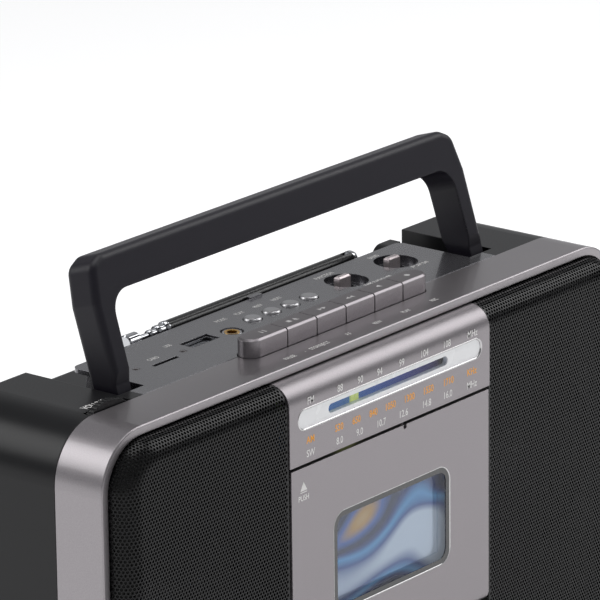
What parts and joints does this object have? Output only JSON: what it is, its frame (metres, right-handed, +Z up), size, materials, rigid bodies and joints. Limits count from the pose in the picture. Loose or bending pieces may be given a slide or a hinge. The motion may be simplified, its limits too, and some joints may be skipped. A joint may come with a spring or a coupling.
{
  "type": "cassette player",
  "caption": "Portable radio-cassette player: metallic ring frame, twin speaker grilles, dial, bottom-hinged cassette door, piano keys, fold-back handle and telescopic antenna.",
  "frame": {"origin": "on the floor under the middle of the case", "axes": "+X to the right seen from the front, front faces -Y, +Z up"},
  "size_m": [0.283, 0.098, 0.1928],
  "materials": {
    "ring_metallic": "warm gunmetal metallic paint, satin",
    "fascia_metallic": "warm gunmetal metallic paint, satin",
    "deck_metallic": "dark gunmetal lacquer, glossy",
    "key_metallic": "gunmetal metallic paint, satin",
    "grille_black": "black painted perforated sheet",
    "cabinet_black": "black satin moulded plastic",
    "handle_black": "charcoal satin moulded plastic",
    "inner_plastic": "black moulded plastic",
    "silver_trim": "silver paint",
    "chrome_plastic": "plated plastic",
    "clear_plastic": "clear acrylic",
    "pointer_green": "fluorescent green plastic",
    "steel": "plated steel",
    "brass": "turned brass",
    "rubber": "black rubber",
    "board_green": "printed circuit board",
    "antenna_black": "black painted tube",
    "paper_cone": "black paper cone"
  },
  "bodies": {
    "cabinet": {"front_frame": "ring_metallic", "left_grille": "grille_black", "right_grille": "grille_black", "dial_panel": "fascia_metallic", "lower_trim": "fascia_metallic", "front_baffle": "inner_plastic", "dial_mask": "silver_trim", "dial_window": "clear_plastic", "dial_scale": "inner_plastic", "rear_cabinet": "cabinet_black", "case_screws": "steel", "feet": "rubber", "battery_tray": "inner_plastic", "battery_contacts": "steel", "ac_inlet": "inner_plastic", "control_deck": "deck_metallic", "switch_board": "board_green", "headphone_jack": "chrome_plastic", "usb_socket": "steel", "volume_control": "inner_plastic", "tuning_capacitor": "inner_plastic", "left_speaker": "paper_cone", "right_speaker": "paper_cone", "mechanism_chassis": "steel", "drive_motor": "steel", "circuit_board": "board_green", "power_transformer": "steel", "ferrite_rod": "inner_plastic"},
    "handle": {"handle": "handle_black"},
    "door": {"cassette_door": "fascia_metallic", "door_window": "clear_plastic", "cassette_holder": "inner_plastic"},
    "key_pause": {"key_pause": "key_metallic"},
    "key_stop": {"key_stop": "key_metallic"},
    "key_forward": {"key_forward": "key_metallic"},
    "key_rewind": {"key_rewind": "key_metallic"},
    "key_play": {"key_play": "key_metallic"},
    "key_record": {"key_record": "key_metallic"},
    "button_1": {"button_1": "chrome_plastic"},
    "button_2": {"button_2": "chrome_plastic"},
    "button_3": {"button_3": "chrome_plastic"},
    "button_4": {"button_4": "chrome_plastic"},
    "function_switch": {"function_switch": "silver_trim"},
    "band_switch": {"band_switch": "silver_trim"},
    "volume_wheel": {"volume_wheel": "cabinet_black"},
    "tuning_wheel": {"tuning_wheel": "cabinet_black"},
    "dial_pointer": {"dial_pointer": "pointer_green"},
    "antenna_swivel": {"antenna_mount": "steel"},
    "antenna": {"antenna_tube": "antenna_black"},
    "antenna_section_1": {"antenna_section_1": "steel"},
    "antenna_section_2": {"antenna_section_2": "steel"},
    "antenna_tip": {"antenna_tip": "steel"},
    "head_plate": {"head_plate": "steel", "pinch_roller": "rubber"},
    "flywheel": {"flywheel": "brass"},
    "supply_spindle": {"supply_spindle": "inner_plastic"},
    "takeup_spindle": {"takeup_spindle": "inner_plastic"},
    "motor_pulley": {"motor_pulley": "brass"},
    "battery_cover": {"battery_cover": "cabinet_black"}
  },
  "joints": [
    {"name": "handle_fold", "type": "hinge", "parent": "cabinet", "child": "handle", "pos_m": [0, -0.0098, 0.143], "axis": [1, 0, 0], "range_deg": [-72.6, 17]},
    {"name": "door_hinge", "type": "hinge", "parent": "cabinet", "child": "door", "pos_m": [0, -0.045, 0.0426], "axis": [1, 0, 0], "range_deg": [0, 35]},
    {"name": "key_pause_press", "type": "slide", "parent": "cabinet", "child": "key_pause", "axis": [0, 0, -1], "range_m": [0, 0.004], "stiffness_N_per_m": 300, "springref_m": -0.003},
    {"name": "key_stop_press", "type": "slide", "parent": "cabinet", "child": "key_stop", "axis": [0, 0, -1], "range_m": [0, 0.004], "stiffness_N_per_m": 300, "springref_m": -0.003},
    {"name": "key_forward_press", "type": "slide", "parent": "cabinet", "child": "key_forward", "axis": [0, 0, -1], "range_m": [0, 0.004], "stiffness_N_per_m": 300, "springref_m": -0.003},
    {"name": "key_rewind_press", "type": "slide", "parent": "cabinet", "child": "key_rewind", "axis": [0, 0, -1], "range_m": [0, 0.004], "stiffness_N_per_m": 300, "springref_m": -0.003},
    {"name": "key_play_press", "type": "slide", "parent": "cabinet", "child": "key_play", "axis": [0, 0, -1], "range_m": [0, 0.004], "stiffness_N_per_m": 300, "springref_m": -0.003},
    {"name": "key_record_press", "type": "slide", "parent": "cabinet", "child": "key_record", "axis": [0, 0, -1], "range_m": [0, 0.004], "stiffness_N_per_m": 300, "springref_m": -0.003},
    {"name": "button_1_press", "type": "slide", "parent": "cabinet", "child": "button_1", "axis": [0, 0, -1], "range_m": [0, 0.0008], "stiffness_N_per_m": 400, "springref_m": -0.001},
    {"name": "button_2_press", "type": "slide", "parent": "cabinet", "child": "button_2", "axis": [0, 0, -1], "range_m": [0, 0.0008], "stiffness_N_per_m": 400, "springref_m": -0.001},
    {"name": "button_3_press", "type": "slide", "parent": "cabinet", "child": "button_3", "axis": [0, 0, -1], "range_m": [0, 0.0008], "stiffness_N_per_m": 400, "springref_m": -0.001},
    {"name": "button_4_press", "type": "slide", "parent": "cabinet", "child": "button_4", "axis": [0, 0, -1], "range_m": [0, 0.0008], "stiffness_N_per_m": 400, "springref_m": -0.001},
    {"name": "function_switch_slide", "type": "slide", "parent": "cabinet", "child": "function_switch", "axis": [1, 0, 0], "range_m": [0, 0.0046]},
    {"name": "band_switch_slide", "type": "slide", "parent": "cabinet", "child": "band_switch", "axis": [1, 0, 0], "range_m": [0, 0.0046]},
    {"name": "volume_turn", "type": "hinge", "parent": "cabinet", "child": "volume_wheel", "pos_m": [-0.113, -0.0194, 0.1376], "axis": [0, 1, 0], "range_deg": [-150, 150]},
    {"name": "tuning_turn", "type": "hinge", "parent": "cabinet", "child": "tuning_wheel", "pos_m": [0.1252, 0.005, 0.088], "axis": [0, 1, 0], "range_deg": [-70, 230]},
    {"name": "dial_pointer_slide", "type": "slide", "parent": "cabinet", "child": "dial_pointer", "axis": [1, 0, 0], "range_m": [-0.0145, 0.0465]},
    {"name": "antenna_turn", "type": "hinge", "parent": "cabinet", "child": "antenna_swivel", "pos_m": [0.066, 0.0205, 0.14], "axis": [0, 0, -1], "range_deg": [0, 90]},
    {"name": "battery_cover_pull", "type": "slide", "parent": "cabinet", "child": "battery_cover", "axis": [0, 1, 0], "range_m": [0, 0.03]},
    {"name": "antenna_tilt", "type": "hinge", "parent": "antenna_swivel", "child": "antenna", "pos_m": [0.066, 0.0205, 0.149], "axis": [0, 1, 0], "range_deg": [0, 90]},
    {"name": "antenna_pull_1", "type": "slide", "parent": "antenna", "child": "antenna_section_1", "axis": [-1, 0, 0], "range_m": [0, 0.044]},
    {"name": "antenna_pull_2", "type": "slide", "parent": "antenna_section_1", "child": "antenna_section_2", "axis": [-1, 0, 0], "range_m": [0, 0.044]},
    {"name": "antenna_pull_3", "type": "slide", "parent": "antenna_section_2", "child": "antenna_tip", "axis": [-1, 0, 0], "range_m": [0, 0.044]},
    {"name": "head_plate_drop", "type": "slide", "parent": "cabinet", "child": "head_plate", "axis": [0, 0, -1], "range_m": [0, 0.0032]},
    {"name": "flywheel_spin", "type": "hinge", "parent": "cabinet", "child": "flywheel", "pos_m": [0.015, -0.03, 0.1], "axis": [0, 1, 0], "continuous": true},
    {"name": "motor_spin", "type": "hinge", "parent": "cabinet", "child": "motor_pulley", "pos_m": [-0.036, -0.03, 0.06], "axis": [0, 1, 0], "continuous": true},
    {"name": "takeup_spin", "type": "hinge", "parent": "cabinet", "child": "takeup_spindle", "pos_m": [0.02125, -0.03, 0.071], "axis": [0, 1, 0], "continuous": true},
    {"name": "supply_spin", "type": "hinge", "parent": "cabinet", "child": "supply_spindle", "pos_m": [-0.02125, -0.03, 0.071], "axis": [0, 1, 0], "continuous": true}
  ],
  "couplings": [
    {"joint": "dial_pointer_slide", "follows": "tuning_turn", "m_per_rad": 0.0115},
    {"joint": "head_plate_drop", "follows": "key_play_press", "ratio": 0.8},
    {"joint": "motor_spin", "follows": "flywheel_spin", "ratio": 5},
    {"joint": "takeup_spin", "follows": "flywheel_spin", "ratio": 0.35}
  ]
}
